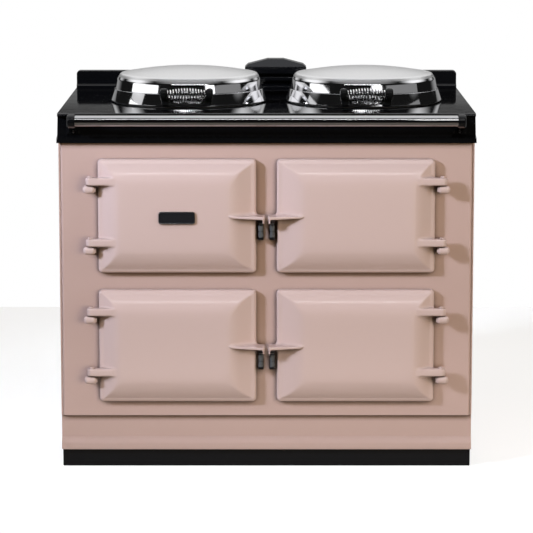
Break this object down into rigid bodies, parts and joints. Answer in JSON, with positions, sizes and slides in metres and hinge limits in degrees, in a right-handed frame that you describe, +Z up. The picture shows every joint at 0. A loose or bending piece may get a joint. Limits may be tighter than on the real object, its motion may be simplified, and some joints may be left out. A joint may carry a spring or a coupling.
{
  "type": "range cooker",
  "caption": "Free-standing heat-storage range cooker with hinged oven doors, domed hotplate lids, a front handrail, a rear vent cowl and a plinth.",
  "frame": {"origin": "under the middle of the whole box, on the floor", "axes": "+X to the right as seen from the front, +Y to the back, +Z up"},
  "size_m": [0.987, 0.756, 0.936],
  "materials": {
    "pink_enamel": "gloss vitreous enamel",
    "black_enamel": "gloss vitreous enamel",
    "plinth_black": "satin powder coat",
    "steel": "plain steel",
    "galvanised_steel": "galvanised",
    "gland_plastic": "moulded",
    "cast_iron": "ground and cast",
    "element_steel": "sheathed",
    "mineral_wool": "packed fibre",
    "chrome": "polished",
    "lid_steel": "polished sides, brushed dome",
    "fascia_paint": "satin",
    "dark_plastic": "moulded",
    "knob_plastic": "moulded",
    "catch_dark": "satin",
    "roller_steel": "turned",
    "badge_black": "gloss with a bright rim",
    "liner_steel": "brushed",
    "rope_seal": "woven rope",
    "grip_black": "gloss"
  },
  "bodies": {
    "cooker": {"back_panel": "galvanised_steel", "baking_oven": "cast_iron", "base_frame": "steel", "base_trim": "pink_enamel", "boiling_hotplate": "cast_iron", "cable_gland": "gland_plastic", "catch_brackets": "catch_dark", "control_box": "steel", "control_fascia": "fascia_paint", "front_plate": "pink_enamel", "handrail": "chrome", "handrail_brackets": "black_enamel", "handrail_screws": "steel", "hinge_brackets": "pink_enamel", "hinge_pins": "steel", "hotplate_elements": "element_steel", "hotplate_insulation": "mineral_wool", "left_side_panel": "pink_enamel", "levelling_feet": "steel", "lid_hinge_brackets": "catch_dark", "oven_elements": "element_steel", "oven_insulation": "mineral_wool", "oven_shelves": "chrome", "plinth": "plinth_black", "rear_upstand": "black_enamel", "right_side_panel": "pink_enamel", "roasting_oven": "cast_iron", "simmering_hotplate": "cast_iron", "simmering_oven": "cast_iron", "thermostats": "dark_plastic", "top_plate": "black_enamel", "vent_cowl": "black_enamel"},
    "upper_left_door": {"upper_left_door": "pink_enamel", "badge_plate": "badge_black"},
    "upper_left_catch_roller": {"upper_left_catch_roller": "roller_steel"},
    "upper_right_door": {"upper_right_door": "pink_enamel", "upper_right_door_liner": "liner_steel", "upper_right_door_seal": "rope_seal"},
    "upper_right_catch_roller": {"upper_right_catch_roller": "roller_steel"},
    "lower_left_door": {"lower_left_door": "pink_enamel", "lower_left_door_liner": "liner_steel", "lower_left_door_seal": "rope_seal"},
    "lower_left_catch_roller": {"lower_left_catch_roller": "roller_steel"},
    "lower_right_door": {"lower_right_door": "pink_enamel", "lower_right_door_liner": "liner_steel", "lower_right_door_seal": "rope_seal"},
    "lower_right_catch_roller": {"lower_right_catch_roller": "roller_steel"},
    "control_knob_1": {"control_knob_1": "knob_plastic"},
    "control_knob_2": {"control_knob_2": "knob_plastic"},
    "control_knob_3": {"control_knob_3": "knob_plastic"},
    "boiling_lid": {"boiling_lid": "lid_steel", "boiling_lid_liner": "liner_steel", "boiling_lid_handle_mount": "grip_black", "boiling_lid_handle_coil": "chrome", "boiling_lid_hinge_arm": "steel"},
    "simmering_lid": {"simmering_lid": "lid_steel", "simmering_lid_liner": "liner_steel", "simmering_lid_handle_mount": "grip_black", "simmering_lid_handle_coil": "chrome", "simmering_lid_hinge_arm": "steel"}
  },
  "joints": [
    {"name": "upper_left_door_hinge", "type": "hinge", "parent": "cooker", "child": "upper_left_door", "pos_m": [-0.414, -0.342, 0.6095], "axis": [0, 0, -1], "range_deg": [0, 110]},
    {"name": "upper_left_roller_spin", "type": "hinge", "parent": "cooker", "child": "upper_left_catch_roller", "pos_m": [-0.0135, -0.332, 0.5755], "axis": [0, 0, 1], "continuous": true},
    {"name": "upper_right_door_hinge", "type": "hinge", "parent": "cooker", "child": "upper_right_door", "pos_m": [0.414, -0.342, 0.6095], "axis": [0, 0, 1], "range_deg": [0, 110]},
    {"name": "upper_right_roller_spin", "type": "hinge", "parent": "cooker", "child": "upper_right_catch_roller", "pos_m": [0.0135, -0.332, 0.5755], "axis": [0, 0, 1], "continuous": true},
    {"name": "lower_left_door_hinge", "type": "hinge", "parent": "cooker", "child": "lower_left_door", "pos_m": [-0.414, -0.342, 0.299], "axis": [0, 0, -1], "range_deg": [0, 110]},
    {"name": "lower_left_roller_spin", "type": "hinge", "parent": "cooker", "child": "lower_left_catch_roller", "pos_m": [-0.0135, -0.332, 0.265], "axis": [0, 0, 1], "continuous": true},
    {"name": "lower_right_door_hinge", "type": "hinge", "parent": "cooker", "child": "lower_right_door", "pos_m": [0.414, -0.342, 0.299], "axis": [0, 0, 1], "range_deg": [0, 110]},
    {"name": "lower_right_roller_spin", "type": "hinge", "parent": "cooker", "child": "lower_right_catch_roller", "pos_m": [0.0135, -0.332, 0.265], "axis": [0, 0, 1], "continuous": true},
    {"name": "control_knob_1_turn", "type": "hinge", "parent": "cooker", "child": "control_knob_1", "pos_m": [-0.3055, -0.288, 0.6095], "axis": [0, -1, 0], "range_deg": [0, 270]},
    {"name": "control_knob_2_turn", "type": "hinge", "parent": "cooker", "child": "control_knob_2", "pos_m": [-0.2105, -0.288, 0.6095], "axis": [0, -1, 0], "range_deg": [0, 270]},
    {"name": "control_knob_3_turn", "type": "hinge", "parent": "cooker", "child": "control_knob_3", "pos_m": [-0.1155, -0.288, 0.6095], "axis": [0, -1, 0], "range_deg": [0, 270]},
    {"name": "boiling_lid_hinge", "type": "hinge", "parent": "cooker", "child": "boiling_lid", "pos_m": [-0.1907, 0.225, 0.866], "axis": [-1, 0, 0], "range_deg": [0, 90]},
    {"name": "simmering_lid_hinge", "type": "hinge", "parent": "cooker", "child": "simmering_lid", "pos_m": [0.2387, 0.225, 0.866], "axis": [-1, 0, 0], "range_deg": [0, 90]}
  ]
}
